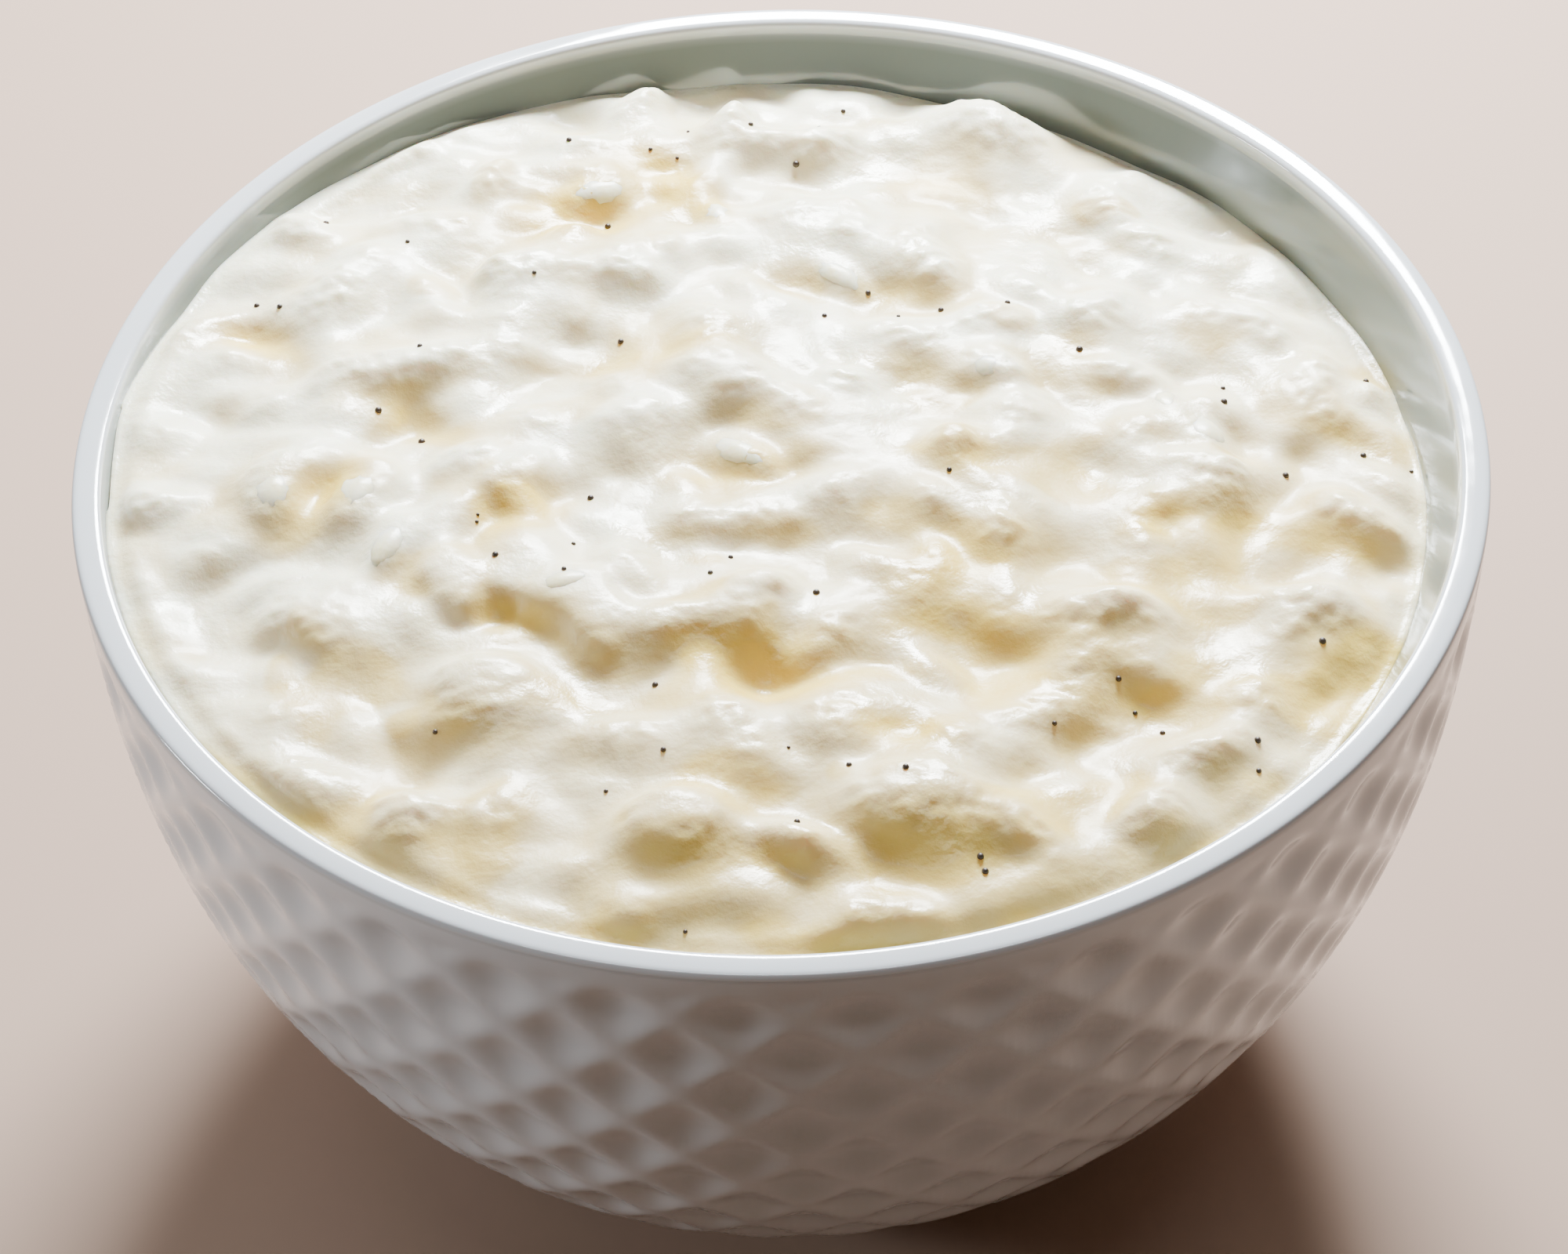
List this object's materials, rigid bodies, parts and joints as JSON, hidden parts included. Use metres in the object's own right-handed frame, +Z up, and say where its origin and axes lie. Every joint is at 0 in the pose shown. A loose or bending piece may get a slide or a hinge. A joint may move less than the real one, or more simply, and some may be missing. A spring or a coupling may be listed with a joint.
{
  "type": "bowl of rice pudding",
  "caption": "Small round porcelain bowl with a diamond-pressed outside, filled almost to its lip with creamy, lumpy rice pudding.",
  "frame": {"origin": "middle of the foot ring's resting face", "axes": "+Z up out of the bowl's mouth, -Y towards the eater"},
  "size_m": [0.12, 0.12, 0.0674],
  "materials": {
    "porcelain": "white glossy glaze",
    "pudding": "wet creamy rice in thick custard-white cream",
    "rice_grain": "soft translucent cooked rice with a wet coat",
    "vanilla": "tiny dark vanilla seeds"
  },
  "bodies": {
    "root": {"bowl": "porcelain", "rice_pudding": "pudding"}
  },
  "joints": []
}
